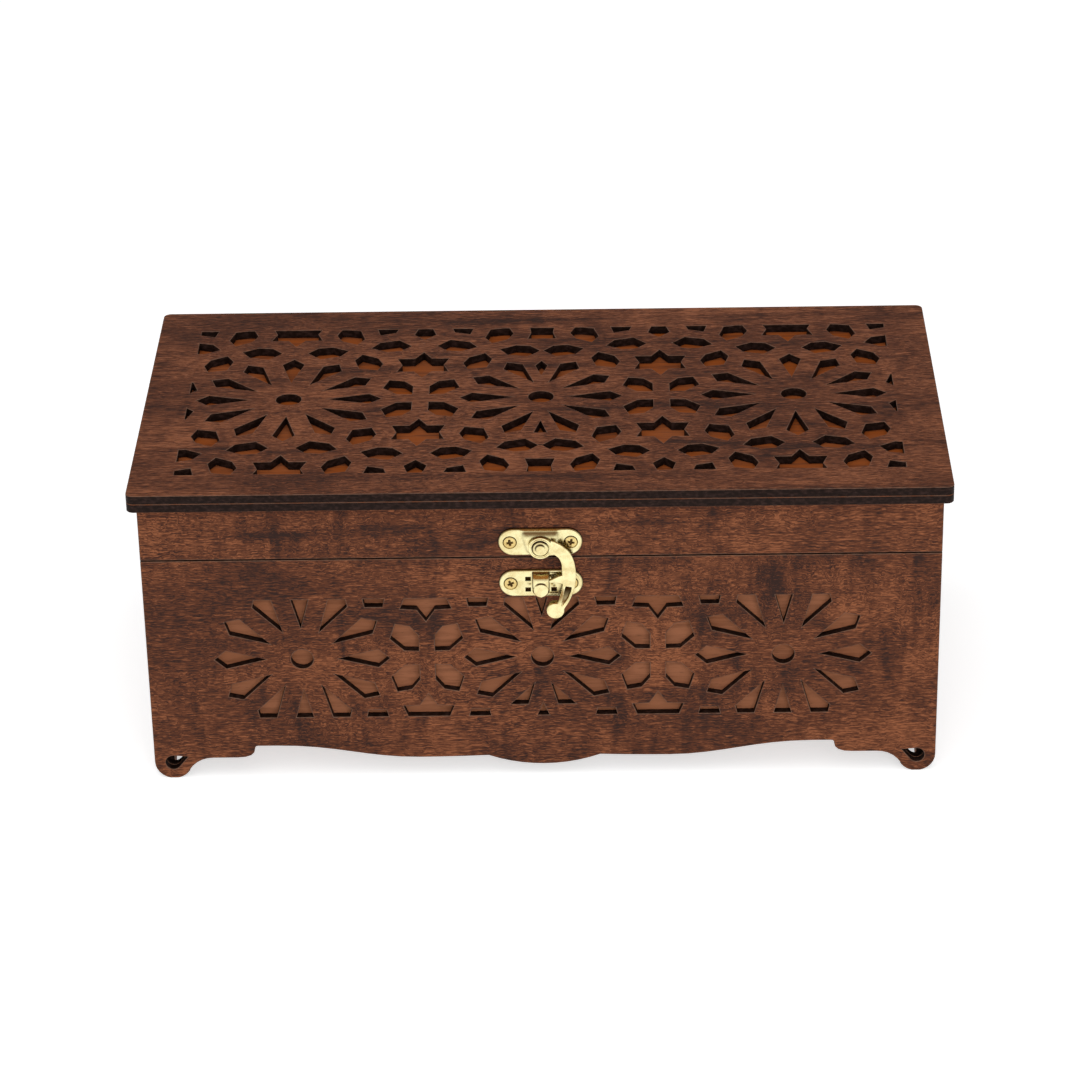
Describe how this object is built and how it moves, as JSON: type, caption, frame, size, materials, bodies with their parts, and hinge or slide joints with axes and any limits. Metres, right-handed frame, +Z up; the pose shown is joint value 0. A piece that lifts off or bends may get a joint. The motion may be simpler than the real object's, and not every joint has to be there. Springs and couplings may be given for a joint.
{
  "type": "serving box",
  "caption": "Low hinged wooden serving box with a pierced geometric lid and walls, scalloped skirt on small feet, inner compartments and a brass swing latch.",
  "frame": {"origin": "on the surface that the feet stand on, under the middle of the whole part's outer box", "axes": "+X along the front towards the right as seen from the front, +Y from the latch towards the hinges, +Z up"},
  "size_m": [0.272, 0.1448, 0.1103],
  "materials": {
    "stained_wood": "dark red-brown stained plywood, satin, laser-burnt edges",
    "inner_wood": "lighter brown stained plywood, satin",
    "backing_wood": "orange-brown plywood, satin",
    "brass": "polished brass plate",
    "screw_brass": "brass-plated steel"
  },
  "bodies": {
    "box": {"front_wall": "stained_wood", "back_wall": "stained_wood", "left_wall": "stained_wood", "right_wall": "stained_wood", "front_lining": "inner_wood", "back_lining": "inner_wood", "left_lining": "inner_wood", "right_lining": "inner_wood", "floor_panel": "inner_wood", "long_divider": "inner_wood", "cross_divider_1": "inner_wood", "cross_divider_2": "inner_wood", "cross_divider_3": "inner_wood", "catch_plate": "brass", "catch_screw_1": "screw_brass", "catch_screw_2": "screw_brass", "left_hinge_box_leaf": "brass", "right_hinge_box_leaf": "brass", "left_hinge_pin": "screw_brass", "right_hinge_pin": "screw_brass", "box_hinge_screw_1": "screw_brass", "box_hinge_screw_2": "screw_brass", "box_hinge_screw_3": "screw_brass", "box_hinge_screw_4": "screw_brass"},
    "lid": {"lid_fret": "stained_wood", "lid_backing": "backing_wood", "lid_front_rail": "stained_wood", "lid_back_rail": "stained_wood", "lid_left_rail": "stained_wood", "lid_right_rail": "stained_wood", "lid_front_lining": "inner_wood", "lid_back_lining": "inner_wood", "lid_left_lining": "inner_wood", "lid_right_lining": "inner_wood", "latch_plate": "brass", "latch_rivet": "brass", "latch_screw_1": "screw_brass", "latch_screw_2": "screw_brass", "left_hinge_lid_leaf": "brass", "right_hinge_lid_leaf": "brass", "lid_hinge_screw_1": "screw_brass", "lid_hinge_screw_2": "screw_brass", "lid_hinge_screw_3": "screw_brass", "lid_hinge_screw_4": "screw_brass"},
    "hook": {"latch_hook": "brass"}
  },
  "joints": [
    {"name": "lid_hinge", "type": "hinge", "parent": "box", "child": "lid", "pos_m": [0, 0.0705, 0.08425], "axis": [-1, 0, 0], "range_deg": [0, 105]},
    {"name": "hook_swing", "type": "hinge", "parent": "lid", "child": "hook", "pos_m": [0, -0.069, 0.08925], "axis": [0, -1, 0], "range_deg": [0, 100]}
  ]
}
